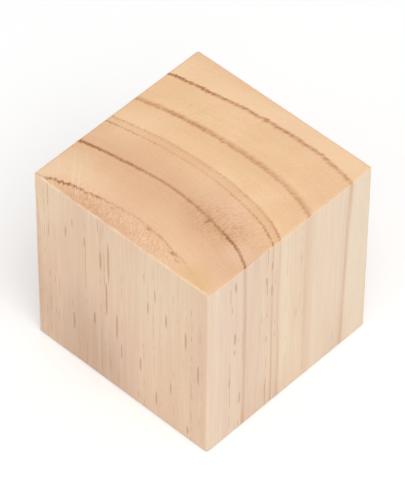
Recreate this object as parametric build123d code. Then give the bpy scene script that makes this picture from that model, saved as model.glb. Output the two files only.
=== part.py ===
import os

from build123d import *

# A solid cube of planed pine, in millimetres.
# It is cut from a square strip, so the grain runs straight up along Z and the end grain
# shows on the top and on the base. The origin is the middle of the base.

# The planed strip's section, and the length that is sawn from it
width = 50.0
depth = 50.0
length = 50.0

# Light sanding rounds every edge alike, round the sawn ends as along the grain.
edge_radius = 0.5


def sawn_block():
    """The block as it leaves the saw: the strip's section, drawn up along the grain."""
    return extrude(Rectangle(width, depth), amount=length)


def sanded(block):
    """The block with its edges rounded, which leaves each corner a small ball."""
    return fillet(block.edges(), radius=edge_radius)


cube = sanded(sawn_block())
cube.label = "wooden_cube"

os.makedirs("parts", exist_ok=True)
export_step(cube, "parts/wooden_cube.step")

size = cube.bounding_box().size
print(f"wooden_cube: {size.X:.2f} x {size.Y:.2f} x {size.Z:.2f} mm, {cube.volume / 1000:.2f} cm3")
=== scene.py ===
# %% [markdown]
# # A cube of sanded pine
# The real object is one solid block: a square strip of fast-grown pine, planed on four
# sides, sawn to length and sanded. Nothing is fitted to it, so all of its looks come from
# the wood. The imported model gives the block's exact size and place, and this lesson puts
# the wood into it: the rings, the grain, the resin canals and the worn edges.

# %% Load the model's frame
import math
import random

import bmesh
import bpy
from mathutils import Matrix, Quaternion, Vector, noise


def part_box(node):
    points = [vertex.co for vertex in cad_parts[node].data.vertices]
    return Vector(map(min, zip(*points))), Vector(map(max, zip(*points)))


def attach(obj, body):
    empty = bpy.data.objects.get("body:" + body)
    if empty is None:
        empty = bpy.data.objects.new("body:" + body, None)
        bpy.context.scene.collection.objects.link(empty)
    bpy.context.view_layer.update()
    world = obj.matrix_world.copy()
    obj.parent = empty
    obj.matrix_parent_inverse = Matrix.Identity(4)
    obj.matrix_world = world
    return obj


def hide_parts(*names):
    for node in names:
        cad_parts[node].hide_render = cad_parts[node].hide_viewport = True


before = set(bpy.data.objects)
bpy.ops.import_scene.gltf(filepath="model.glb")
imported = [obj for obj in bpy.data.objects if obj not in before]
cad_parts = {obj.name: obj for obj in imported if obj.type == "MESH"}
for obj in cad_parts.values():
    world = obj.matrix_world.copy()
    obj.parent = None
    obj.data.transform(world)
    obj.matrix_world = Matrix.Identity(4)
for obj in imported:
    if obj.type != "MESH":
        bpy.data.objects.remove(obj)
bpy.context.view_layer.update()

MM = 0.001
low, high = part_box("wooden_cube")
size = high - low
centre = (low + high) / 2
SIDE = size.z
print("cube, in mm:", [round(s / MM, 2) for s in size])

# %% [markdown]
# ## The block
# On the real cube the planer leaves flat faces and the sander rounds every edge by half a
# millimetre. A cube with its edges bevelled gives that form. The finish of wood isn't
# only painted on: the hard bands stand up a little, the canals are fine open grooves, and
# the edges are worn unevenly. So the flat faces are cut into a fine grid whose points can
# be moved. The grid is finest across the grain, where the wood changes fastest.

# %% Bevel a cube and cut its faces into a grid
EDGE_RADIUS = 0.5 * MM
EDGE_SEGMENTS = 5
# Cuts in each flat face, across the grain and along it
CUTS_ACROSS = 149
CUTS_ALONG = 59


def is_long(edge):
    """True for the edges of the flat faces, and not for the short ones of the bevel."""
    return edge.calc_length() > SIDE / 2


def runs_up(edge):
    """True for an edge that runs along the grain."""
    a, b = edge.verts
    return abs(a.co.z - b.co.z) > edge.calc_length() / 2


def make_block():
    """The rounded block as a bmesh, in place, with its faces cut into a grid."""
    block = bmesh.new()
    bmesh.ops.create_cube(block, size=1.0)
    bmesh.ops.scale(block, vec=size, verts=block.verts)
    bmesh.ops.translate(block, vec=centre, verts=block.verts)
    bmesh.ops.bevel(
        block, geom=block.edges[:], offset=EDGE_RADIUS, offset_type="OFFSET",
        affect="EDGES", segments=EDGE_SEGMENTS, profile=0.5, material=-1,
    )
    level = [e for e in block.edges if is_long(e) and not runs_up(e)]
    bmesh.ops.subdivide_edges(block, edges=level, cuts=CUTS_ACROSS, use_grid_fill=True)
    upright = [e for e in block.edges if is_long(e) and runs_up(e)]
    bmesh.ops.subdivide_edges(block, edges=upright, cuts=CUTS_ALONG, use_grid_fill=True)
    bmesh.ops.recalc_face_normals(block, faces=block.faces)
    block.normal_update()
    return block


block = make_block()
triangles = sum(len(face.verts) - 2 for face in block.faces)
print("block:", len(block.verts), "points,", triangles, "triangles")

# %% [markdown]
# ## The tree
# A tree lays down one ring a year round its pith, so what a point of the wood looks like
# depends on where it was in the tree: how far from the pith, how far round the ring, and
# how high. The pith of this tree lies outside the block, off its front side, so the
# rings cross the end grain as arcs and the sides as straight lines. Working in the tree's
# own measures keeps every face in step, as the real faces of one block are.

# %% Where a point of the block was in the tree
# All of these are in mm, or per mm. The pith lies off the front side, and the middle of the
# rings drifts across the block from front to back.
PITH_TO_MIDDLE = 83.5
DRIFT_AT_MIDDLE = -0.7
DRIFT_RATE = 0.27
DRIFT_BEND = 0.0142
# Near the right side the rings turn in towards the pith: by TURN at a radius of TURN_RADIUS,
# and by less further out, until it has faded to nothing over TURN_FADE.
TURN = 0.75
TURN_FROM, TURN_TO = 20.0, 26.0
TURN_RADIUS = 75.0
TURN_FADE = 40.0
# The outer rings stand nearer to the pith at the base than at the top.
LEAN = 0.0034
UPRIGHT_TO = 92.0
# A slow wave keeps the rings from being perfect arcs.
WAVE_HEIGHT = 0.45
WAVE_ACROSS = 13.0
WAVE_ALONG = 70.0
# The radius at which an angle is measured in mm round the ring
RADIUS_FOR_ARCS = 90.0


def smooth_step(low, high, value):
    """0 at low, 1 at high, and smooth between them, as a shader's smooth step is."""
    t = min(1.0, max(0.0, (value - low) / (high - low)))
    return t * t * (3.0 - 2.0 * t)


def place_in_tree(point):
    """(distance from the pith, distance round the ring, height) of a point, all in mm."""
    x, y, z = point / MM
    drift = DRIFT_AT_MIDDLE + DRIFT_RATE * y + DRIFT_BEND * y * y
    across, out = x - drift, y + PITH_TO_MIDDLE
    radius = math.hypot(across, out)
    turn = TURN * smooth_step(TURN_FROM, TURN_TO, x)
    radius += turn * (1.0 - (radius - TURN_RADIUS) / TURN_FADE)
    radius += (SIDE / MM - z) * LEAN * max(0.0, radius - UPRIGHT_TO)
    wave_place = Vector((x / WAVE_ACROSS, y / WAVE_ACROSS, z / WAVE_ALONG))
    radius += WAVE_HEIGHT * noise.noise(wave_place)
    return radius, math.atan2(across, out) * RADIUS_FOR_ARCS, z


corner = Vector((high.x, low.y, high.z))
print("the front top corner's place in the tree:", [round(v, 1) for v in place_in_tree(corner)])

# %% [markdown]
# ## The rings
# Each year's growth starts pale and soft and ends in a thin, hard, dark line. The lines of
# one tree differ: a dry year leaves a dark sharp line, a false ring is only a faint pair,
# and some years end softly. So the rings are a short table, in millimetres from the pith.
# Tones run from 0, the palest wood, to 1, the darkest.

# %% The rings, from the pith outwards
# For each ring, with distances in mm:
# radius: where its line lies
# before, after: the tone of the wood inside the line and outside it
# line: what the line adds to the tone on the end grain
# side: the share of that on the sides
# inner, outer: how far the line fades, inwards and outwards
# spread: how much wider it is on the sides
# ragged, comb: how far it wanders, slowly all over and finely on the end grain
# broken: how much its strength comes and goes
# along: its strength at even steps round the ring, from the left to the right
# The last one only reaches the block's back left corner, near the base.
RINGS = (
    dict(
        radius=63.9, before=0.18, after=0.17, line=0.66, side=0.05, inner=0.68, outer=0.45,
        spread=1.2, ragged=0.26, comb=0.36, broken=0.55, along=(1.45, 0.50, 0.30, 0.44, 0.0),
    ),
    dict(
        radius=75.1, before=0.33, after=0.36, line=0.80, side=0.60, inner=0.65, outer=0.65,
        spread=1.4, ragged=0.13, comb=0.17, broken=0.35, along=(1.0, 0.66, 0.44, 0.32, 1.10),
    ),
    dict(
        radius=83.0, before=0.19, after=0.19, line=0.46, side=0.80, inner=0.50, outer=0.40,
        spread=1.3, ragged=0.12, comb=0.22, broken=0.90, along=(1.0, 0.52, 0.34, 0.50, 0.95),
    ),
    dict(
        radius=85.0, before=0.22, after=0.06, line=0.42, side=0.70, inner=0.70, outer=0.45,
        spread=1.3, ragged=0.12, comb=0.22, broken=0.90, along=(0.7, 0.45, 0.38, 0.46, 0.90),
    ),
    dict(
        radius=92.6, before=0.15, after=0.08, line=0.58, side=0.68, inner=0.85, outer=1.50,
        spread=1.9, ragged=0.14, comb=0.26, broken=0.40, along=(0.70, 0.88, 0.80, 0.70, 0.72),
    ),
    dict(
        radius=103.8, before=0.12, after=0.02, line=0.92, side=1.12, inner=1.12, outer=0.62,
        spread=1.45, ragged=0.18, comb=0.34, broken=0.50, along=(0.95, 0.76, 0.58, 0.42, 0.32),
    ),
    dict(
        radius=117.5, before=0.16, after=0.05, line=0.55, side=0.8, inner=0.90, outer=0.80,
        spread=1.3, ragged=0.25, comb=0.20, broken=0.30, along=(1.0, 1.0, 1.0, 1.0, 1.0),
    ),
)
# Where the tones start and end, a little beyond the block each way
INNERMOST = dict(radius=54.0, after=0.12)
OUTERMOST = dict(radius=122.0, before=0.10)


def ground_tone(radius):
    """The tone of the wood between the lines, at a distance from the pith."""
    inner = INNERMOST
    for outer in (*RINGS, OUTERMOST):
        if radius < outer["radius"]:
            share = smooth_step(inner["radius"], outer["radius"], radius)
            return inner["after"] + (outer["before"] - inner["after"]) * share
        inner = outer
    return OUTERMOST["before"]


def line_tone(radius):
    """How much the nearest ring line adds to the tone."""
    added = 0.0
    for ring in RINGS:
        off = radius - ring["radius"]
        rise = smooth_step(-ring["inner"], 0.0, off)
        fall = 1.0 - smooth_step(0.0, ring["outer"], off)
        added = max(added, ring["line"] * rise * fall)
    return added


for r in (60, 75, 80, 95, 104):
    print("tone at", r, "mm:", round(ground_tone(r) + line_tone(r), 2))

# %% [markdown]
# ## The resin canals
# Pine has fine upright canals. Where a side cuts one lengthwise it leaves a short dark
# groove, a few millimetres long and a few tenths of a millimetre wide. The grooves crowd
# where a side runs along a ring, and are few where it crosses the rings. Noise alone could
# make them, but a block is known by its own marks. So the large ones on the two sides that
# show are listed one by one, and the other two sides get some at random, from a fixed seed.

# %% Canals on the two sides that show
# For each: its place across the side and the height of its middle, as shares of a side,
# then its length in mm and its darkness. Across runs from the left of the side, seen from
# outside.
FRONT_CANALS = (
    (0.178, 0.775, 3.2, 0.8), (0.222, 0.855, 3.0, 0.6), (0.290, 0.790, 3.0, 0.7),
    (0.385, 0.745, 5.2, 1.0), (0.372, 0.950, 5.0, 0.5), (0.398, 0.935, 5.5, 0.4),
    (0.425, 0.760, 11.0, 1.0), (0.418, 0.530, 10.0, 1.0), (0.187, 0.580, 4.5, 0.4),
    (0.135, 0.400, 9.0, 0.4), (0.217, 0.235, 5.0, 0.9), (0.345, 0.350, 3.6, 1.0),
    (0.475, 0.395, 7.5, 0.9), (0.497, 0.260, 5.0, 0.7), (0.433, 0.130, 5.0, 0.4),
    (0.480, 0.070, 4.0, 0.4), (0.613, 0.265, 4.2, 0.9), (0.635, 0.830, 4.5, 0.4),
    (0.695, 0.765, 4.0, 0.7), (0.655, 0.660, 3.8, 0.7), (0.760, 0.655, 4.0, 0.8),
    (0.870, 0.620, 5.2, 0.9), (0.910, 0.735, 4.0, 0.3), (0.945, 0.460, 5.6, 0.9),
    (0.860, 0.450, 4.5, 0.4), (0.790, 0.250, 3.6, 0.6), (0.910, 0.285, 2.6, 0.4),
    (0.700, 0.115, 4.6, 0.9), (0.883, 0.055, 2.6, 0.8), (0.600, 0.060, 2.8, 0.5),
    (0.128, 0.200, 4.0, 0.4), (0.520, 0.740, 4.0, 0.3),
)
RIGHT_CANALS = (
    (0.165, 0.915, 2.8, 0.8), (0.150, 0.790, 3.2, 0.6), (0.165, 0.595, 3.4, 0.9),
    (0.168, 0.510, 2.0, 0.6), (0.135, 0.340, 2.8, 0.6), (0.198, 0.195, 3.8, 0.7),
    (0.170, 0.035, 2.4, 0.4), (0.353, 0.800, 2.4, 0.9), (0.390, 0.870, 2.6, 0.6),
    (0.390, 0.720, 4.2, 0.6), (0.333, 0.590, 3.2, 0.4), (0.330, 0.410, 3.0, 0.3),
    (0.353, 0.120, 3.2, 0.5), (0.545, 0.455, 4.0, 0.5), (0.570, 0.780, 2.2, 0.4),
    (0.550, 0.680, 5.0, 0.3), (0.570, 0.310, 4.0, 0.2),
)
print("canals placed by hand:", len(FRONT_CANALS) + len(RIGHT_CANALS))

# %% Canals on the other two sides
CANAL_SEED = 7
CANALS_ON_BACK = 24
CANALS_ON_LEFT = 18
# The least and the most of each measure, in the order of the lists above
CANAL_RANGES = ((0.04, 0.96), (0.05, 0.95), (2.4, 5.5), (0.3, 1.0))


def scatter_canals(count, rng):
    """Canals for a side that doesn't show, much like those on the sides that do."""
    return tuple(
        tuple(rng.uniform(least, most) for least, most in CANAL_RANGES)
        for _ in range(count)
    )


rng = random.Random(CANAL_SEED)
BACK_CANALS = scatter_canals(CANALS_ON_BACK, rng)
LEFT_CANALS = scatter_canals(CANALS_ON_LEFT, rng)
print("canals placed at random:", len(BACK_CANALS) + len(LEFT_CANALS))

# %% How deep in a canal a point lies
GRID_STEP = (SIDE - 2 * EDGE_RADIUS) / (CUTS_ACROSS + 1)
# A groove fades towards its ends, so it is cut longer than the canal looks.
CANAL_STRETCH = 1.25
# A point belongs to a side where its normal points nearly straight out of that side.
SIDE_FACING = 0.9
# For each side: the way its face points, the way that across runs, half the width of its
# canals in mm, and the canals
SIDES = (
    (Vector((0, -1, 0)), Vector((1, 0, 0)), 0.42, FRONT_CANALS),
    (Vector((1, 0, 0)), Vector((0, 1, 0)), 0.50, RIGHT_CANALS),
    (Vector((0, 1, 0)), Vector((-1, 0, 0)), 0.36, BACK_CANALS),
    (Vector((-1, 0, 0)), Vector((0, -1, 0)), 0.45, LEFT_CANALS),
)


def canal_at(point, normal):
    """How deep in a canal a point of the surface lies: 0 for none, up to 1.

    Each canal is moved to the nearest row of the grid's points, which keeps its groove sharp.
    It gets shallower evenly towards its edges, and along its length only near the ends.
    """
    deepest = 0.0
    for facing, across_axis, half_width, canals in SIDES:
        if normal.dot(facing) <= SIDE_FACING:
            continue
        across = point.dot(across_axis)
        for share, height, length, dark in canals:
            place = round((share - 0.5) * SIDE / GRID_STEP) * GRID_STEP
            aside = abs(across - place) / (half_width * MM)
            off = abs(point.z - height * SIDE) / (length * CANAL_STRETCH * MM / 2)
            if aside < 1.0 and off < 1.0:
                deepest = max(deepest, dark * (1.0 - aside) * (1.0 - off ** 3))
    return deepest


first_across, first_height = FRONT_CANALS[0][:2]
canal_middle = Vector(((first_across - 0.5) * SIDE, low.y, first_height * SIDE))
print("in the middle of the first canal:", round(canal_at(canal_middle, Vector((0, -1, 0))), 2))

# %% [markdown]
# ## Stains, painted shade and tints
# The front side runs along one ring, so it shows hardly a line. It shows broad soft patches
# instead, where more or less resin lies just under the surface. Those low on the front side,
# most at its left, are partly painted shade as well. The end grain has patches of another hue
# too, and places where the saw has torn it. A brush could paint them, but a list is easier to
# change: each patch is a soft ball round a point of the surface, which is strongest at its
# middle and fades to nothing at its reach.

# %% Stains, some of them partly painted shade
# For each: its middle and its reach, in mm, and how much it adds to the tone
SIDE_STAINS_AND_SHADE = (
    # The first, third and fourth are partly painted shade, darker low on the front, most at the
    # left.
    ((-9.0, -25.0, 2.0), (22.0, 8.0, 32.0), 0.50),
    ((-12.5, -25.0, 30.0), (9.0, 5.0, 28.0), 0.12),
    ((-25.0, -25.0, 16.0), (8.0, 4.0, 24.0), 0.24),
    ((13.0, -25.0, 0.0), (14.0, 5.0, 16.0), 0.13),
    ((21.0, -25.0, 28.0), (4.0, 3.0, 34.0), 0.12),
    ((-25.0, -25.0, 47.0), (12.0, 4.0, 16.0), -0.44),
    ((25.0, -5.0, 0.0), (5.0, 12.0, 16.0), 0.22),
    ((25.0, 15.0, 0.0), (5.0, 8.0, 24.0), 0.20),
    ((11.0, -25.0, 40.0), (16.0, 5.0, 26.0), -0.16),
    ((6.0, 25.0, 12.0), (12.0, 4.0, 26.0), 0.34),
    ((-15.0, 25.0, 36.0), (8.0, 4.0, 28.0), 0.26),
    ((17.0, 25.0, 40.0), (9.0, 4.0, 22.0), -0.20),
    ((-25.0, 8.0, 8.0), (4.0, 9.0, 26.0), 0.20),
    ((-25.0, -14.0, 38.0), (4.0, 8.0, 24.0), 0.18),
)
END_STAINS = (
    ((-9.0, -24.5, 50.0), (20.0, 5.0, 1.2), 0.26),
    ((11.0, -10.5, 50.0), (14.0, 8.0, 4.0), 0.13),
    ((22.0, -12.0, 50.0), (7.0, 5.0, 3.0), -0.17),
    ((-21.0, -19.0, 50.0), (13.0, 7.5, 5.0), -0.20),
    ((-25.0, -24.0, 50.0), (4.5, 3.0, 3.0), -0.70),
    ((-10.5, -20.6, 50.0), (1.2, 0.6, 3.0), 0.40),
    ((-6.1, -20.9, 50.0), (1.0, 0.5, 3.0), 0.35),
    ((3.3, -20.0, 50.0), (1.1, 0.6, 3.0), 0.45),
    ((11.6, -21.5, 50.0), (1.7, 0.6, 3.0), 0.60),
    ((13.6, -22.3, 50.0), (1.2, 0.5, 3.0), 0.35),
)
print("stains:", len(SIDE_STAINS_AND_SHADE), "on the sides and", len(END_STAINS), "on the end grain")

# %% Patches of another hue
# For each: its middle, its reach and its tint, golden above 0 and pinkish below it
TINTS = (
    ((20.0, -23.0, 50.0), (8.0, 5.0, 5.0), 1.2),
    ((3.0, -24.0, 50.0), (13.0, 3.2, 5.0), -0.9),
    ((10.0, -5.0, 50.0), (9.0, 8.0, 5.0), -0.5),
    ((-5.0, -21.0, 50.0), (16.0, 6.0, 5.0), -0.4),
    ((21.0, -15.0, 50.0), (7.0, 6.0, 5.0), -0.8),
    ((-8.0, -10.0, 50.0), (10.0, 5.0, 5.0), -0.4),
    ((-18.0, 2.0, 50.0), (9.0, 5.0, 5.0), -0.5),
    ((23.0, 12.0, 50.0), (8.0, 13.0, 5.0), -0.4),
    ((-20.0, 21.0, 50.0), (8.0, 7.0, 5.0), 0.4),
    ((8.0, 22.0, 50.0), (12.0, 5.0, 5.0), -0.5),
    ((-24.0, -25.0, 26.0), (9.0, 5.0, 24.0), 1.0),
    ((-9.0, -25.0, 38.0), (9.0, 5.0, 12.0), 0.6),
    ((-15.0, -25.0, 22.0), (6.0, 5.0, 22.0), -0.5),
    ((2.0, -25.0, 18.0), (12.0, 5.0, 20.0), -0.4),
    ((25.0, -20.0, 25.0), (5.0, 8.0, 30.0), -0.4),
    ((-10.0, 10.0, 0.0), (14.0, 9.0, 5.0), 0.6),
    ((12.0, -12.0, 0.0), (12.0, 9.0, 5.0), -0.6),
)
print("tints:", len(TINTS))

# %% Torn end grain, which looks speckled
# For each: its middle, its reach and how strong the speckle is
TORN = (
    ((14.0, -8.0, 50.0), (18.0, 9.0, 6.0), 1.2),
    ((2.0, -22.5, 50.0), (20.0, 4.5, 4.0), 1.4),
    ((-14.0, -22.5, 50.0), (13.0, 5.0, 4.0), 1.2),
    ((-8.0, 12.0, 50.0), (14.0, 4.0, 5.0), 0.5),
    ((-14.0, 5.0, 0.0), (12.0, 7.0, 6.0), 0.9),
    ((15.0, 12.0, 0.0), (8.0, 9.0, 6.0), 0.8),
)
print("torn patches:", len(TORN))


# %% Add the patches up
def soft_balls(point, balls):
    """What the soft balls add up to at a point."""
    total = 0.0
    for middle, reach, strength in balls:
        away = math.sqrt(sum(((c / MM - m) / r) ** 2 for c, m, r in zip(point, middle, reach)))
        total += strength * (1.0 - smooth_step(0.0, 1.0, away))
    return total


print("tint at the front top corner:", round(soft_balls(corner, TINTS), 2))

# %% [markdown]
# ## Moving the points
# Sanding takes soft wood away faster than hard wood, so the dark lines stand proud on the
# end grain by a few hundredths of a millimetre. The sander's belt leaves a slow ripple, and
# the edges are worn more in some places than in others. A displacement in the material
# would show in one renderer only, so the points themselves are moved. Each goes inwards
# along its normal, never outwards, and the block stays inside the model's size.

# %% Carve the relief and note what the material has to know of each point
END_RELIEF = 0.07 * MM
SIDE_RELIEF = 0.02 * MM
CANAL_DEPTH = 0.14 * MM
EDGE_WEAR = 0.16 * MM
WEAR_EVERYWHERE = 0.5
WEAR_LENGTH = 2.2 * MM
RIPPLE = 0.012 * MM
RIPPLE_LENGTH = 5.0 * MM
# A point is on the end grain where its normal points up or down by more than this.
END_FACING = 0.7
# How far the largest part of a normal falls short of 1 in the middle of an edge
EDGE_FACING = 0.29


def depth(point, normal, radius, canal):
    """How far inwards the surface lies at a point."""
    tone = min(1.0, ground_tone(radius) + line_tone(radius))
    edge = smooth_step(0.0, EDGE_FACING, 1.0 - max(abs(part) for part in normal))
    sunk = (1.0 - tone) * (END_RELIEF if abs(normal.z) > END_FACING else SIDE_RELIEF)
    sunk += RIPPLE * (1.0 + noise.noise(point / RIPPLE_LENGTH))
    sunk += EDGE_WEAR * edge * max(0.0, WEAR_EVERYWHERE + noise.noise(point / WEAR_LENGTH))
    return sunk + CANAL_DEPTH * canal


def carve(block):
    """Moves the points, and returns what is known of each, under the attributes' names."""
    known = {name: [] for name in ("tree", "canal", "stain_and_shade", "tint", "torn")}
    moves = []
    for vert in block.verts:
        point, normal = vert.co, vert.normal
        place = place_in_tree(point)
        canal = canal_at(point, normal)
        stains_and_shade = END_STAINS if abs(normal.z) > END_FACING else SIDE_STAINS_AND_SHADE
        known["tree"].extend(place)
        known["canal"].append(canal)
        known["stain_and_shade"].append(soft_balls(point, stains_and_shade))
        known["tint"].append(soft_balls(point, TINTS))
        known["torn"].append(soft_balls(point, TORN))
        moves.append(-normal * depth(point, normal, place[0], canal))
    for vert, move in zip(block.verts, moves):
        vert.co += move
    return known


known = carve(block)
radii = known["tree"][0::3]
print("wood from", round(min(radii), 1), "to", round(max(radii), 1), "mm from the pith")

# %% [markdown]
# ## From points to a piece
# The bmesh becomes a mesh, and what is known of each point goes along as attributes, which
# the material can read. They stay with the points, so the wood moves with the block, which
# a pattern in the air round it wouldn't do.

# %% Turn it into a piece
mesh = bpy.data.meshes.new("pine_block")
block.to_mesh(mesh)
block.free()
mesh.shade_smooth()
for name, values in known.items():
    kind, field = ("FLOAT_VECTOR", "vector") if name == "tree" else ("FLOAT", "value")
    mesh.attributes.new(name, kind, "POINT").data.foreach_set(field, values)
piece = bpy.data.objects.new("pine_block", mesh)
bpy.context.scene.collection.objects.link(piece)
print("piece:", piece.name, "with", ", ".join(known))

# %% [markdown]
# ## The wood's material
# One material serves the whole block, because end grain and sides are one wood. It is a net
# of nodes, and most of them are small sums, so a few helpers that add one node each make
# the net short to write. Whatever a helper returns can be fed to the next one.

# %% Start the net, with helpers for sums
wood = bpy.data.materials.new("sanded_pine")
wood.use_nodes = True
nodes, links = wood.node_tree.nodes, wood.node_tree.links
nodes.clear()


def feed(socket, value):
    """Links a socket to a node's output, or sets it to a number, a colour or a vector."""
    if isinstance(value, bpy.types.NodeSocket):
        links.new(value, socket)
    else:
        socket.default_value = value


def maths(operation, *values, clamp=False):
    """One sum, whose values are numbers or the outputs of other nodes."""
    node = nodes.new("ShaderNodeMath")
    node.operation = operation
    node.use_clamp = clamp
    for socket, value in zip(node.inputs, values):
        feed(socket, value)
    return node.outputs["Value"]


def remap(value, from_low, from_high, to_low=0.0, to_high=1.0, smooth=True):
    """Turns one range of numbers into another, clamped at both ends."""
    node = nodes.new("ShaderNodeMapRange")
    node.interpolation_type = "SMOOTHSTEP" if smooth else "LINEAR"
    feed(node.inputs["Value"], value)
    names = ("From Min", "From Max", "To Min", "To Max")
    for name, number in zip(names, (from_low, from_high, to_low, to_high)):
        feed(node.inputs[name], number)
    return node.outputs["Result"]


print("material:", wood.name)


# %% Read what is known of each point
def attribute(name, output="Fac"):
    """One of the block's attributes, as a node's output."""
    node = nodes.new("ShaderNodeAttribute")
    node.attribute_name = name
    return node.outputs[output]


def parts(vector_output):
    """The three parts of a vector."""
    node = nodes.new("ShaderNodeSeparateXYZ")
    links.new(vector_output, node.inputs["Vector"])
    return node.outputs


out, round_ring, height = parts(attribute("tree", "Vector"))
canal = attribute("canal")
stain_and_shade = attribute("stain_and_shade")
tint = attribute("tint")
torn = attribute("torn")
print("the net reads", len(known), "attributes")

# %% Tell end grain, sides and edges apart
# How far up or down a normal points where the end grain starts to show and where it is all
END_GRAIN_NORMALS = (0.35, 0.70)
# The largest part of a normal where an edge starts and where it is all edge
EDGE_NORMALS = (0.985, 0.80)
position = nodes.new("ShaderNodeTexCoord").outputs["Object"]
x_mm, y_mm, z_mm = [maths("DIVIDE", part, MM) for part in parts(position)]
normal = nodes.new("ShaderNodeNewGeometry").outputs["Normal"]
facing_x, facing_y, facing_z = [maths("ABSOLUTE", part) for part in parts(normal)]
end_grain = remap(facing_z, *END_GRAIN_NORMALS)
flatness = maths("MAXIMUM", maths("MAXIMUM", facing_x, facing_y), facing_z)
on_edge = remap(flatness, *EDGE_NORMALS)


def by_grain(on_sides, on_ends):
    """One value on the sides and another on the end grain, and between them on an edge."""
    return remap(end_grain, 0.0, 1.0, on_sides, on_ends, smooth=False)


print("nodes so far:", len(nodes))

# %% [markdown]
# ## Rings in the material
# Between the lines the tone drifts slowly, and a colour ramp is enough. The lines are too
# thin for a ramp, so each is a pair of smooth steps round its own radius. Noise shifts the
# radius a little, which makes a line ragged where the real one is. The noise is taken in
# the tree's measures, so it can be fine across the rings and long up the trunk.


# %% Helpers for noise and ramps
# A noise node's values keep mostly between these.
NOISE_RANGE = (0.25, 0.75)


def vector(x, y, z):
    """A vector from three numbers or outputs."""
    node = nodes.new("ShaderNodeCombineXYZ")
    for socket, value in zip(node.inputs, (x, y, z)):
        feed(socket, value)
    return node.outputs["Vector"]


def cloudy(place, detail, roughness=0.5):
    """Noise round 0.5 at a place."""
    node = nodes.new("ShaderNodeTexNoise")
    feed(node.inputs["Vector"], place)
    feed(node.inputs["Scale"], 1.0)
    feed(node.inputs["Detail"], detail)
    feed(node.inputs["Roughness"], roughness)
    return node.outputs["Fac"]


def grain_noise(outwards, around, up, detail=2.0, roughness=0.5, most=1.0):
    """Noise in the tree's measures, from -most to most.

    The bumps per mm outwards, around the ring and up the trunk say how fine it is each way.
    """
    place = vector(
        maths("MULTIPLY", out, outwards),
        maths("MULTIPLY", round_ring, around),
        maths("MULTIPLY", height, up),
    )
    return remap(cloudy(place, detail, roughness), *NOISE_RANGE, -most, most, smooth=False)


def ramp(value, stops, interpolation="LINEAR"):
    """Colours or tones along a value, from (place, colour) stops."""
    node = nodes.new("ShaderNodeValToRGB")
    node.color_ramp.interpolation = interpolation
    elements = node.color_ramp.elements
    elements[0].position, elements[0].color = stops[0]
    elements[1].position, elements[1].color = stops[-1]
    for place, colour in stops[1:-1]:
        elements.new(place).color = colour
    feed(node.inputs["Fac"], value)
    return node.outputs["Color"]


def grey(tone):
    """A tone as a colour."""
    return (tone, tone, tone, 1.0)


print("grey 0.5 is", grey(0.5))

# %% Slow tones between the lines
FIRST, LAST = INNERMOST["radius"], OUTERMOST["radius"]
# The tone changes at a line within this many mm each way.
RAMP_STEP = 0.25


def on_ramp(radius, tone):
    """A ramp stop for a distance from the pith."""
    return ((radius - FIRST) / (LAST - FIRST), grey(tone))


def ground_stops():
    """The tones between the lines, as ramp stops."""
    stops = [on_ramp(FIRST, INNERMOST["after"])]
    for ring in RINGS:
        stops.append(on_ramp(ring["radius"] - RAMP_STEP, ring["before"]))
        stops.append(on_ramp(ring["radius"] + RAMP_STEP, ring["after"]))
    stops.append(on_ramp(LAST, OUTERMOST["before"]))
    return stops


radius_share = remap(out, FIRST, LAST, smooth=False)
ground = ramp(radius_share, ground_stops(), "EASE")
print("ramp with", len(ground_stops()), "stops")

# %% The dark lines
# The strengths along a ring are spread over this many mm each way from its middle.
REACH_ROUND = 30.0
GROWTH_TONE = 0.03
ragged = grain_noise(outwards=0.5, around=0.9, up=0.03)
comb = grain_noise(outwards=0.5, around=2.8, up=0.05, roughness=0.6)
comb = maths("MULTIPLY", comb, end_grain)
whiskers = grain_noise(outwards=0.8, around=2.2, up=0.05)
growth = grain_noise(outwards=1.5, around=0.05, up=0.01)
round_share = remap(round_ring, -REACH_ROUND, REACH_ROUND, smooth=False)


def ring_line(ring):
    """How much one ring's line adds to the tone here."""
    off = maths("SUBTRACT", out, ring["radius"])
    off = maths("MULTIPLY_ADD", ragged, ring["ragged"], off)
    off = maths("MULTIPLY_ADD", comb, ring["comb"], off)
    off = maths("MULTIPLY", off, by_grain(1.0 / ring["spread"], 1.0))
    rise = remap(off, -ring["inner"], 0.0)
    fall = remap(off, 0.0, ring["outer"], 1.0, 0.0)
    last = len(ring["along"]) - 1
    stops = [(i / last, grey(strength)) for i, strength in enumerate(ring["along"])]
    along = ramp(round_share, stops, "EASE")
    strength = by_grain(ring["line"] * ring["side"], ring["line"])
    strength = maths("MULTIPLY", strength, along)
    strength = maths("MULTIPLY", strength, maths("MULTIPLY_ADD", whiskers, ring["broken"], 1.0))
    return maths("MULTIPLY", maths("MULTIPLY", rise, fall), strength)


lines = 0.0
for ring in RINGS:
    lines = maths("MAXIMUM", ring_line(ring), lines)
ring_tone = maths("ADD", maths("ADD", ground, lines), stain_and_shade)
ring_tone = maths("MULTIPLY_ADD", growth, GROWTH_TONE, ring_tone)
print("lines:", len(RINGS), "nodes so far:", len(nodes))

# %% [markdown]
# ## Fibres and cells
# A pine's fibres are tubes a few millimetres long and a thirtieth of a millimetre wide. On
# the sides they show as fine upright streaks, in broader bands. On the end grain only their
# cut ends show, as a soft speckle, with faint rays that run out from the pith. All of it is
# noise in the tree's measures, and the stretch of each noise decides which of these it is.

# %% Streaks of the sides
# Distances from the pith between which the wood grows quieter
QUIETER_RADII = (84.0, 94.0)
QUIET_STREAKS = 0.45
FIBRE_TONE = 0.14
BAND_TONE = 0.12
STRAND_TONE = 0.07


def less_outside(share):
    """1 in the inner wood and on the front and back, and a share in the outer wood elsewhere."""
    return maths("MAXIMUM", remap(out, *QUIETER_RADII, 1.0, share), facing_y)


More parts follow.
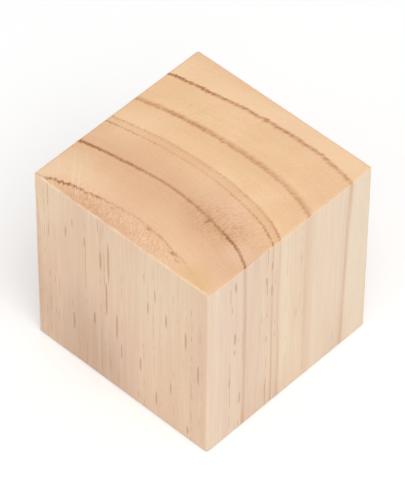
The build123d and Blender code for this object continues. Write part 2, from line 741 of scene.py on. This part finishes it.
fibres = grain_noise(outwards=1.8, around=1.8, up=0.05, detail=3.0, roughness=0.65)
bands = grain_noise(outwards=0.45, around=0.40, up=0.012)
strands = grain_noise(outwards=5.5, around=5.5, up=0.16, roughness=0.6)
streakiness = less_outside(QUIET_STREAKS)
side_tone = maths("MULTIPLY_ADD", maths("MULTIPLY", fibres, streakiness), FIBRE_TONE, ring_tone)
side_tone = maths("MULTIPLY_ADD", maths("MULTIPLY", bands, streakiness), BAND_TONE, side_tone)
side_tone = maths("MULTIPLY_ADD", strands, STRAND_TONE, side_tone)
print("nodes so far:", len(nodes))

# %% Speckle of the end grain
DASH_RANGE = (-0.75, 0.75)
CELL_TONE = 0.10
SPECKLE_TONE = 0.14
RAY_TONE = 0.03
PATCH_TONE = 0.05
cells = grain_noise(outwards=2.2, around=3.0, up=2.6, detail=3.0, roughness=0.7)
rays = grain_noise(outwards=0.25, around=2.4, up=0.3)
patches = grain_noise(outwards=0.12, around=0.12, up=0.03, detail=1.0)
dashes = grain_noise(outwards=1.3, around=2.8, up=0.05, roughness=0.7)
speckle = maths("MULTIPLY", remap(dashes, *DASH_RANGE, -1.0, 1.0), torn)
end_tone = maths("MULTIPLY_ADD", cells, CELL_TONE, ring_tone)
end_tone = maths("MULTIPLY_ADD", speckle, SPECKLE_TONE, end_tone)
end_tone = maths("MULTIPLY_ADD", rays, RAY_TONE, end_tone)
end_tone = maths("MULTIPLY_ADD", patches, PATCH_TONE, end_tone)
print("nodes so far:", len(nodes))

# %% [markdown]
# ## Canals that run up through the wood
# Besides the few wide canals there are many fine ones, all through the block. Seen from
# above they are scattered dots, and a flat pattern of uneven cells gives such dots, one in
# the middle of each cell. As it has no height, each dot goes on down as a thin upright
# line. A slow swing moves the lines in and out of a side on their way up, so the side cuts
# each one only for a stretch, as it does on the real block.

# %% Where the fine canals crowd
CROWD_INSIDE = 0.6
# How far outside a line, in mm, and how crowded the canals are there
AFTER_LINE = (0.5, 0.1)
# How far on between two lines, as a share, and how crowded they are there
BETWEEN_LINES = ((0.40, 0.2), (0.60, 1.0))
# How far inside a line, in mm, and how crowded they are there
BEFORE_LINE = (0.3, 0.8)
QUIET_CROWD = 0.2


def crowding_stops():
    """How crowded the canals are from ring to ring: most in the later half of each."""
    stops = [on_ramp(FIRST, CROWD_INSIDE), on_ramp(RINGS[0]["radius"], CROWD_INSIDE)]
    for inner, outer in zip(RINGS, RINGS[1:]):
        gap = outer["radius"] - inner["radius"]
        stops.append(on_ramp(inner["radius"] + AFTER_LINE[0], AFTER_LINE[1]))
        for share, crowd in BETWEEN_LINES:
            stops.append(on_ramp(inner["radius"] + gap * share, crowd))
        stops.append(on_ramp(outer["radius"] - BEFORE_LINE[0], BEFORE_LINE[1]))
    return stops


crowding = ramp(radius_share, crowding_stops())
crowding = maths("MULTIPLY", crowding, less_outside(QUIET_CROWD))
print("ramp with", len(crowding_stops()), "stops")

# %% The fine canals
CANALS_PER_MM = 0.85
CANAL_RADIUS = 0.14
# The shares of its radius where a canal starts to fade and where it ends
CANAL_FADE = (0.6, 1.4)
PALEST_CANAL = 0.3
# How far a line swings in and out of a side, in mm
SWING = 0.55
swing = grain_noise(outwards=0.45, around=0.45, up=0.16, detail=1.0, most=SWING)
dots = nodes.new("ShaderNodeTexVoronoi")
dots.voronoi_dimensions = "2D"
feed(dots.inputs["Vector"], vector(
    maths("MULTIPLY_ADD", swing, facing_y, out),
    maths("MULTIPLY_ADD", swing, facing_x, round_ring),
    0.0,
))
feed(dots.inputs["Scale"], CANALS_PER_MM)
chance = nodes.new("ShaderNodeSeparateColor")
links.new(dots.outputs["Color"], chance.inputs["Color"])
canal_distance = maths("DIVIDE", dots.outputs["Distance"], CANALS_PER_MM)
fade_from, fade_to = [CANAL_RADIUS * share for share in CANAL_FADE]
streak = remap(canal_distance, fade_from, fade_to, 1.0, 0.0)
streak = maths("MULTIPLY", streak, maths("GREATER_THAN", crowding, chance.outputs["Red"]))
streak = maths("MULTIPLY", streak, remap(chance.outputs["Green"], 0.0, 1.0, PALEST_CANAL, 1.0))
print("where they crowd most, one fine canal in", round(CANALS_PER_MM ** -2, 1), "square mm")

# %% [markdown]
# ## Marks on the top
# The top has a few pale parallel scratches near one corner, and one short dark nick that
# crosses a ring line. Both are local, so both are worked out from the distance along and
# across a way on the top. The scratches are noise stretched along that way, and the nick is
# a pair of smooth steps.

# %% Distances along and across a way on the top
on_top = maths("MULTIPLY", end_grain, maths("GREATER_THAN", z_mm, SIDE / MM / 2))


def along_and_across(middle, way):
    """How far along a way, and how far aside of it, a point of the top lies, in mm."""
    x = maths("SUBTRACT", x_mm, middle[0])
    y = maths("SUBTRACT", y_mm, middle[1])
    along = maths("ADD", maths("MULTIPLY", x, way[0]), maths("MULTIPLY", y, way[1]))
    across = maths("ADD", maths("MULTIPLY", x, way[1]), maths("MULTIPLY", y, -way[0]))
    return along, across


print("nodes so far:", len(nodes))

# %% Scratches
SCRATCH_WAY = (-0.655, 0.755)
SCRATCH_MIDDLE = (-19.0, -19.0)
SCRATCH_REACH = 8.0
# The share of the reach over which they keep their full strength
SCRATCH_CORE = 0.4
SCRATCHES_PER_MM_ACROSS = 1.5
SCRATCHES_PER_MM_ALONG = 0.05
# The noise at which a scratch starts and at which it is full
SCRATCH_NOISE = (0.56, 0.66)
along_scratch, across_scratch = along_and_across((0.0, 0.0), SCRATCH_WAY)
scratch_place = vector(
    maths("MULTIPLY", across_scratch, SCRATCHES_PER_MM_ACROSS),
    maths("MULTIPLY", along_scratch, SCRATCHES_PER_MM_ALONG),
    0.0,
)
scratch = remap(cloudy(scratch_place, detail=1.0), *SCRATCH_NOISE)
x_away = maths("SUBTRACT", x_mm, SCRATCH_MIDDLE[0])
y_away = maths("SUBTRACT", y_mm, SCRATCH_MIDDLE[1])
away = maths("SQRT", maths("MULTIPLY_ADD", x_away, x_away, maths("MULTIPLY", y_away, y_away)))
near_enough = remap(away, SCRATCH_REACH * SCRATCH_CORE, SCRATCH_REACH, 1.0, 0.0)
scratch = maths("MULTIPLY", scratch, near_enough)
scratch = maths("MULTIPLY", scratch, on_top)
print("scratches within", SCRATCH_REACH, "mm of", SCRATCH_MIDDLE)

# %% The nick
NICK_MIDDLE = (10.75, -9.8)
NICK_WAY = (0.28, 0.96)
NICK_LENGTH = 3.0
NICK_WIDTH = 0.95
# The nick starts to fade this far from its middle, as shares of its length and width.
NICK_CORE_ALONG = 0.2
NICK_CORE_ACROSS = 0.1
along_nick, across_nick = [maths("ABSOLUTE", v) for v in along_and_across(NICK_MIDDLE, NICK_WAY)]
nick_across = remap(across_nick, NICK_WIDTH * NICK_CORE_ACROSS, NICK_WIDTH / 2, 1.0, 0.0)
nick_along = remap(along_nick, NICK_LENGTH * NICK_CORE_ALONG, NICK_LENGTH / 2, 1.0, 0.0)
nick = maths("MULTIPLY", maths("MULTIPLY", nick_across, nick_along), on_top)
print("nick at", NICK_MIDDLE)

# %% [markdown]
# ## Colours
# The end grain drinks in light and looks a good deal darker and more orange than the sides
# of the same wood, so each has a ramp of its own, from the palest tone to the darkest. The
# resin makes some parts more golden, the torn parts look pinkish, and both are laid over
# the ramp as a faint wash, which keeps the grain under them.


# %% Helpers for colours
def paint(red, green, blue):
    """A colour as it looks, each part from 0 to 255, in the shader's own measure.

    The numbers are those of the sRGB standard.
    """
    def light(value):
        share = value / 255
        return share / 12.92 if share <= 0.04045 else ((share + 0.055) / 1.055) ** 2.4
    return (light(red), light(green), light(blue), 1.0)


def blend(share, first, second, mode="MIX"):
    """Mixes two colours, by a number or an output."""
    node = nodes.new("ShaderNodeMix")
    node.data_type = "RGBA"
    node.blend_type = mode
    feed(node.inputs["Factor"], share)
    feed(node.inputs[6], first)
    feed(node.inputs[7], second)
    return node.outputs[2]


def wash(share, colour, glaze):
    """Lays a thin glaze over a colour, so that what lies under it stays.

    A glaze is the shares of red, green and blue that it lets through.
    """
    return blend(share, colour, blend(1.0, colour, (*glaze, 1.0), "MULTIPLY"))


print("middle grey is", [round(v, 3) for v in paint(128, 128, 128)[:3]])

# %% Colour of the end grain
END_COLOURS = (
    (0.00, paint(247, 209, 168)),
    (0.15, paint(238, 196, 156)),
    (0.35, paint(228, 182, 143)),
    (0.60, paint(207, 156, 113)),
    (1.00, paint(166, 110, 67)),
)
end_colour = ramp(end_tone, END_COLOURS)
print("palest end grain:", [round(v, 2) for v in END_COLOURS[0][1][:3]])

# %% Golden, pinkish and sappy end grain
# Distances from the pith between which the golden wood starts and ends
GOLDEN_STARTS = (76.0, 88.0)
GOLDEN_ENDS = (101.0, 106.0)
GOLDEN_LEFT = 0.1
GOLDEN_PATCHES = 0.45
PINKEST_TINT = -1.0
SAPPY_TINTS = (0.5, 1.1)
golden = maths(
    "MULTIPLY", remap(out, *GOLDEN_STARTS), remap(out, *GOLDEN_ENDS, 1.0, GOLDEN_LEFT)
)
golden = maths("MULTIPLY_ADD", patches, GOLDEN_PATCHES, golden)
golden = maths("ADD", golden, tint, clamp=True)
pinkish = remap(tint, 0.0, PINKEST_TINT, smooth=False)
sappy = remap(tint, *SAPPY_TINTS)
end_colour = wash(golden, end_colour, (1.0, 0.985, 0.92))
end_colour = wash(pinkish, end_colour, (0.99, 0.96, 1.0))
end_colour = wash(sappy, end_colour, (0.965, 0.985, 0.91))
print("nodes so far:", len(nodes))

# %% Bleached patches and marks on the end grain
# A stain at least as pale as BLEACHED_STAIN looks bleached by BLEACHED_MOST. Where the slow
# patches rise through BLEACHED_PATCHES, that falls to a share of it.
BLEACHED_STAIN = -0.24
BLEACHED_MOST = 0.60
BLEACHED_PATCHES = (-1.0, 0.6)
BLEACHED_SHARE = 0.5
CANAL_COVER_ON_END = 0.20
SCRATCH_COVER = 0.40
NICK_COVER = 0.9
bleached = maths(
    "MULTIPLY",
    remap(stain_and_shade, 0.0, BLEACHED_STAIN, 0.0, BLEACHED_MOST),
    remap(patches, *BLEACHED_PATCHES, 1.0, BLEACHED_SHARE),
)
for cover, mark_colour in (
    (bleached, paint(236, 204, 176)),
    (maths("MULTIPLY", streak, CANAL_COVER_ON_END), paint(176, 128, 90)),
    (maths("MULTIPLY", scratch, SCRATCH_COVER), paint(250, 222, 192)),
    (maths("MULTIPLY", nick, NICK_COVER), paint(180, 128, 88)),
):
    end_colour = blend(cover, end_colour, mark_colour)
print("nodes so far:", len(nodes))

# %% Colour of the sides
SIDE_COLOURS = (
    (0.00, paint(250, 230, 204)),
    (0.15, paint(246, 220, 194)),
    (0.35, paint(241, 213, 189)),
    (0.60, paint(234, 201, 173)),
    (1.00, paint(220, 180, 145)),
)
side_colour = ramp(side_tone, SIDE_COLOURS)
print("palest sides:", [round(v, 2) for v in SIDE_COLOURS[0][1][:3]])

# %% Golden, rusty, pinkish and stained sides, with some painted shade
# On the sides the golden wood ends nearer to the pith, and the lines further out are rusty.
GOLDEN_SIDE_ENDS = (92.0, 96.0)
GOLDEN_SIDE_LEFT = 0.35
RUSTY_STARTS = (90.0, 92.0)
# What a stain or painted shade adds to the tone where its wash starts and where that is full
DARK_STAINS_AND_SHADE = (0.08, 0.45)
PALE_STAINS = (-0.16, -0.40)
golden_side = maths("MULTIPLY", golden, remap(out, *GOLDEN_SIDE_ENDS, 1.0, GOLDEN_SIDE_LEFT))
rusty = maths("MULTIPLY", remap(out, *RUSTY_STARTS), lines)
# The fourth wash makes the front and back, which run along a ring, warmer all over.
for share, glaze in (
    (golden_side, (1.0, 0.99, 0.945)),
    (rusty, (1.0, 0.975, 0.89)),
    (pinkish, (0.99, 0.965, 1.0)),
    (facing_y, (1.0, 0.926, 0.864)),
    # The fifth wash greys the dark patches, which are partly stains and partly painted shade.
    (remap(stain_and_shade, *DARK_STAINS_AND_SHADE), (0.89, 0.935, 0.98)),
    (remap(stain_and_shade, *PALE_STAINS), (1.0, 0.955, 0.89)),
):
    side_colour = wash(share, side_colour, glaze)
print("nodes so far:", len(nodes))

# %% Canals on the sides
# How much the fine noise that makes a large canal look hairy adds to its depth
HAIR_DEPTH = 0.14
# How deep in a canal its colour starts and where it is full
COLOURED_DEPTHS = (0.15, 0.62)
FINE_CANAL_SHARE = 0.9
CANAL_COVER = 0.50
hairs = grain_noise(outwards=3.2, around=3.2, up=0.14)
canal_share = remap(maths("MULTIPLY_ADD", hairs, HAIR_DEPTH, canal), *COLOURED_DEPTHS)
canal_share = maths("MAXIMUM", canal_share, maths("MULTIPLY", streak, FINE_CANAL_SHARE))
canal_cover = maths("MULTIPLY", canal_share, CANAL_COVER)
side_colour = blend(canal_cover, side_colour, paint(172, 123, 85))
print("nodes so far:", len(nodes))

# %% [markdown]
# ## Edges
# Some sanded edges are paler than the faces, unevenly. That is partly wear, where hands and the
# sander rub them clean, and partly a painted highlight where light catches the rounded edge.
# The lower edges are darker, a painted shade where their rounding faces the floor. The
# material finds an edge by its normal, which on a flat face points straight along an axis
# and on an edge doesn't.

# %% Worn edges with a painted highlight, and painted shade on the lower edges
WEAR_AND_HIGHLIGHT_NOISE = (-0.6, 0.6)
WEAR_AND_HIGHLIGHT_COVER = (0.1, 0.55)
# Only the level edges of the front and the back look worn and get the painted highlight.
WEAR_AND_HIGHLIGHT_NORMALS = (0.5, 0.2)
# The heights in mm where the lower edges' painted shade starts and is full, and how much it covers
CONTACT_SHADE_HEIGHTS = (1.0, 0.2)
CONTACT_SHADE_COVER = 0.5
colour = blend(end_grain, side_colour, end_colour)
wear_and_highlight = remap(grain_noise(outwards=0.30, around=0.30, up=0.30), *WEAR_AND_HIGHLIGHT_NOISE, *WEAR_AND_HIGHLIGHT_COVER)
worn_and_highlit_edge = maths("MULTIPLY", on_edge, remap(facing_x, *WEAR_AND_HIGHLIGHT_NORMALS))
# Pale colour on the level edges: partly wear, partly a painted highlight.
colour = blend(maths("MULTIPLY", worn_and_highlit_edge, wear_and_highlight), colour, paint(250, 228, 200))
# Dark colour on the lowest edges: a painted shade where they face the floor.
painted_contact_shade = maths("MULTIPLY", on_edge, remap(z_mm, *CONTACT_SHADE_HEIGHTS))
colour = blend(maths("MULTIPLY", painted_contact_shade, CONTACT_SHADE_COVER), colour, paint(190, 152, 122))
print("nodes so far:", len(nodes))

# %% [markdown]
# ## The surface
# Bare sanded pine is nearly matt, and its pale fibres shine a little more than the dark ones.
# The relief in the mesh is as fine as its grid. What is finer, such as single fibres and
# the cut cells, is a bump in the material, a hundredth of a millimetre high.

# %% Put the surface together
BUMP_HEIGHT = 0.012 * MM
# How high the strands stand and how deep the canals lie, beside the fibres
STRAND_RELIEF = 0.8
CANAL_RELIEF = -1.2
# From the palest fibres to the darkest
ROUGHNESS = (0.55, 0.72)
side_relief = maths("MULTIPLY_ADD", strands, STRAND_RELIEF, fibres)
side_relief = maths("MULTIPLY_ADD", canal_share, CANAL_RELIEF, side_relief)
relief = by_grain(side_relief, cells)
bump = nodes.new("ShaderNodeBump")
feed(bump.inputs["Strength"], 1.0)
feed(bump.inputs["Distance"], BUMP_HEIGHT)
feed(bump.inputs["Height"], relief)
shader = nodes.new("ShaderNodeBsdfPrincipled")
feed(shader.inputs["Base Color"], colour)
feed(shader.inputs["Roughness"], remap(fibres, -1.0, 1.0, *ROUGHNESS, smooth=False))
feed(shader.inputs["Normal"], bump.outputs["Normal"])
output = nodes.new("ShaderNodeOutputMaterial")
links.new(shader.outputs["BSDF"], output.inputs["Surface"])
mesh.materials.append(wood)
print("the wood's net has", len(nodes), "nodes")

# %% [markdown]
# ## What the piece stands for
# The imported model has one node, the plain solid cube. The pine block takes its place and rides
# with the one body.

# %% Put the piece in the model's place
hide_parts("wooden_cube")
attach(piece, "root")
print(piece.name, "stands for wooden_cube")

# %% [markdown]
# ## The floor
# The cube stands on white paper without an edge. The paper has to look white without more
# light on the cube, so it is two things: for light that bounces it is a plain pale floor,
# and where the camera or a reflection sees it, it glows a little and fades to even white
# away from the cube. Near the cube it stays paper, and keeps the soft shadow.

# %% The floor's shape
FLOOR_RADIUS = 60 * SIDE
FLOOR_SEGMENTS = 96


def make_floor():
    """A wide pale floor under the cube."""
    disc = bmesh.new()
    bmesh.ops.create_circle(disc, cap_ends=True, radius=FLOOR_RADIUS, segments=FLOOR_SEGMENTS)
    floor_mesh = bpy.data.meshes.new("floor")
    disc.to_mesh(floor_mesh)
    disc.free()
    floor = bpy.data.objects.new("floor", floor_mesh)
    bpy.context.scene.collection.objects.link(floor)
    return floor


floor = make_floor()
print("floor, across in m:", round(floor.dimensions.x, 1))

# %% The floor's material
PAPER_FOR_BOUNCES = 0.8
PAPER_SEEN = 0.96
GLOW = 0.13
# Distances from the middle of the cube's base between which the paper fades to white
FADE = (1.0 * SIDE, 4.5 * SIDE)
paper = bpy.data.materials.new("pale_floor")
paper.use_nodes = True
nodes, links = paper.node_tree.nodes, paper.node_tree.links
nodes.clear()


def seen_directly():
    """1 where the camera or a reflection looks, and 0 for light that bounces."""
    path = nodes.new("ShaderNodeLightPath")
    mirrored = maths("MAXIMUM", path.outputs["Is Glossy Ray"], path.outputs["Is Transmission Ray"])
    return maths("MAXIMUM", path.outputs["Is Camera Ray"], mirrored)


def glow(strength):
    """A surface that glows evenly."""
    node = nodes.new("ShaderNodeEmission")
    feed(node.inputs["Strength"], strength)
    return node.outputs["Emission"]


seen = seen_directly()
diffuse = nodes.new("ShaderNodeBsdfDiffuse")
feed(diffuse.inputs["Color"], blend(seen, grey(PAPER_FOR_BOUNCES), grey(PAPER_SEEN)))
near = nodes.new("ShaderNodeAddShader")
links.new(diffuse.outputs["BSDF"], near.inputs[0])
links.new(glow(maths("MULTIPLY", seen, GLOW)), near.inputs[1])
from_cube = nodes.new("ShaderNodeVectorMath")
from_cube.operation = "LENGTH"
links.new(nodes.new("ShaderNodeTexCoord").outputs["Object"], from_cube.inputs[0])
far = remap(from_cube.outputs["Value"], *FADE)
faded = nodes.new("ShaderNodeMixShader")
feed(faded.inputs["Fac"], maths("MULTIPLY", far, seen))
links.new(near.outputs["Shader"], faded.inputs[1])
links.new(glow(1.0), faded.inputs[2])
output = nodes.new("ShaderNodeOutputMaterial")
links.new(faded.outputs["Shader"], output.inputs["Surface"])
floor.data.materials.append(paper)
print("the floor's net has", len(nodes), "nodes")

# %% [markdown]
# ## The light
# Soft studio light from all round leaves the three faces nearly alike. A soft lamp at the
# right and high up makes the top and the right side brighter than the front side, and a
# weak one in front, a little to the left, softens that shade. The world's white lights the
# cube too, and where the camera sees it, it is plain white.

# %% The world
WORLD_STRENGTH = 0.58
SEEN_STRENGTH = 1.0
world = bpy.data.worlds.new("studio")
bpy.context.scene.world = world
world.use_nodes = True
nodes, links = world.node_tree.nodes, world.node_tree.links
background = nodes["Background"]
feed(background.inputs["Color"], (1.0, 1.0, 1.0, 1.0))
world_strength = remap(seen_directly(), 0.0, 1.0, WORLD_STRENGTH, SEEN_STRENGTH, smooth=False)
feed(background.inputs["Strength"], world_strength)
print("world strength:", WORLD_STRENGTH)

# %% The lamps
LAMP_SIZE = 0.7
LAMP_DISTANCE = 20 * SIDE


def direction(azimuth, elevation):
    """The way from the cube to something, turned from the front towards the right, and up."""
    turn, rise = math.radians(azimuth), math.radians(elevation)
    level = math.cos(rise)
    return Vector((math.sin(turn) * level, -math.cos(turn) * level, math.sin(rise)))


def looking_back(way):
    """The turn that makes a lamp or a camera, out along a way, look back at the cube."""
    return (-way).to_track_quat("-Z", "Y")


def make_lamp(name, azimuth, elevation, watts):
    """A square soft box that looks at the middle of the cube."""
    data = bpy.data.lights.new(name, "AREA")
    data.size = LAMP_SIZE
    data.energy = watts
    lamp = bpy.data.objects.new(name, data)
    way = direction(azimuth, elevation)
    lamp.location = centre + way * LAMP_DISTANCE
    lamp.rotation_mode = "QUATERNION"
    lamp.rotation_quaternion = looking_back(way)
    bpy.context.scene.collection.objects.link(lamp)
    return lamp


key_lamp = make_lamp("key_lamp", azimuth=65, elevation=58, watts=4.7)
fill_lamp = make_lamp("fill_lamp", azimuth=-10, elevation=30, watts=0.70)
print("lamps:", key_lamp.name, fill_lamp.name)

# %% [markdown]
# ## The camera
# The camera stands well back with a long lens, so that upright edges stay nearly upright
# and the faces keep their shape. Its place comes from the cube's seven visible corners in
# the photograph.

# %% Set up the camera
AZIMUTH = 42.9
ELEVATION = 47.9
ROLL = 0.5
DISTANCE = 16.8 * SIDE
LENS = 284.0
CLIP_START = DISTANCE * 0.1
CLIP_END = DISTANCE * 100
camera_data = bpy.data.cameras.new("camera")
camera_data.lens = LENS
camera_data.clip_start = CLIP_START
camera_data.clip_end = CLIP_END
camera = bpy.data.objects.new("camera", camera_data)
way = direction(AZIMUTH, ELEVATION)
camera.location = centre + way * DISTANCE
camera.rotation_mode = "QUATERNION"
camera.rotation_quaternion = Quaternion(way, math.radians(ROLL)) @ looking_back(way)
bpy.context.scene.collection.objects.link(camera)
bpy.context.scene.camera = camera
bpy.context.scene.view_settings.view_transform = "Standard"
print("camera at", [round(v, 3) for v in camera.location], "m")

# %% [markdown]
# ## Finish
# The block has to stay inside the size of the imported model. The last step brings the scene
# up to date.

# %% Finish
bpy.context.view_layer.update()
